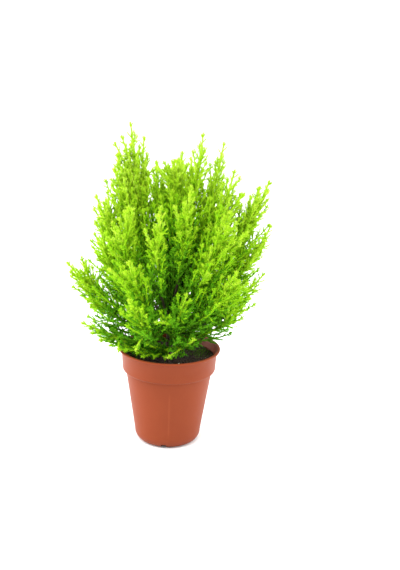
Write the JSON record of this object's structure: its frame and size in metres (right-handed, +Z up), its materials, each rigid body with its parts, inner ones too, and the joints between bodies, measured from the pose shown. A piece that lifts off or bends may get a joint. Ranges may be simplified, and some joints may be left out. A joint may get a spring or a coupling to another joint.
{
  "type": "potted lemon cypress",
  "caption": "Young lemon cypress, a feathery upright bush of soft yellow-green needles, growing in a tapered plastic nursery pot.",
  "frame": {"origin": "the middle of the pot's flat underside", "axes": "+Z up along the pot's axis, -Y towards the front of the crown, +X to the right as seen from the front"},
  "size_m": [0.248, 0.1873, 0.38],
  "materials": {
    "pot_plastic": "satin terracotta-orange plastic, faintly moulded",
    "soil": "dark crumbly potting mix with moss and pale grit",
    "bark": "thin reddish-brown bark in fine ridges",
    "foliage": "soft yellow-green needles, brightest at the tips"
  },
  "bodies": {
    "root": {"pot": "pot_plastic", "soil": "soil", "trunk": "bark", "back_low_1": "foliage", "back_low_2": "foliage", "back_low_3": "foliage", "back_middle_1": "foliage", "back_middle_2": "foliage", "back_middle_3": "foliage", "back_middle_4": "foliage", "back_top_1": "foliage", "back_top_1_bough": "bark", "back_top_2": "foliage", "back_top_2_bough": "bark", "back_upper_1": "foliage", "back_upper_1_bough": "bark", "back_upper_2": "foliage", "back_upper_2_bough": "bark", "back_upper_3": "foliage", "back_upper_3_bough": "bark", "centre": "foliage", "front_fringe": "foliage", "front_left_leader": "foliage", "front_left_leader_bough": "bark", "front_left_low": "foliage", "front_left_middle": "foliage", "front_left_upper": "foliage", "front_left_upper_bough": "bark", "front_low": "foliage", "front_right_leader": "foliage", "front_right_leader_bough": "bark", "front_right_middle": "foliage", "front_right_upper": "foliage", "left_front_low": "foliage", "left_leader": "foliage", "left_leader_bough": "bark", "left_low": "foliage", "left_middle": "foliage", "left_middle_bough": "bark", "left_outer": "foliage", "left_outer_bough": "bark", "left_shoulder": "foliage", "left_shoulder_bough": "bark", "right_front_low": "foliage", "right_front_middle": "foliage", "right_leader": "foliage", "right_leader_bough": "bark", "right_low": "foliage", "right_low_bough": "bark", "right_middle": "foliage", "right_middle_bough": "bark", "right_outer": "foliage", "right_outer_bough": "bark", "right_second": "foliage", "right_second_bough": "bark", "upper_left": "foliage", "upper_left_bough": "bark", "upper_right": "foliage", "upper_right_bough": "bark"}
  },
  "joints": []
}
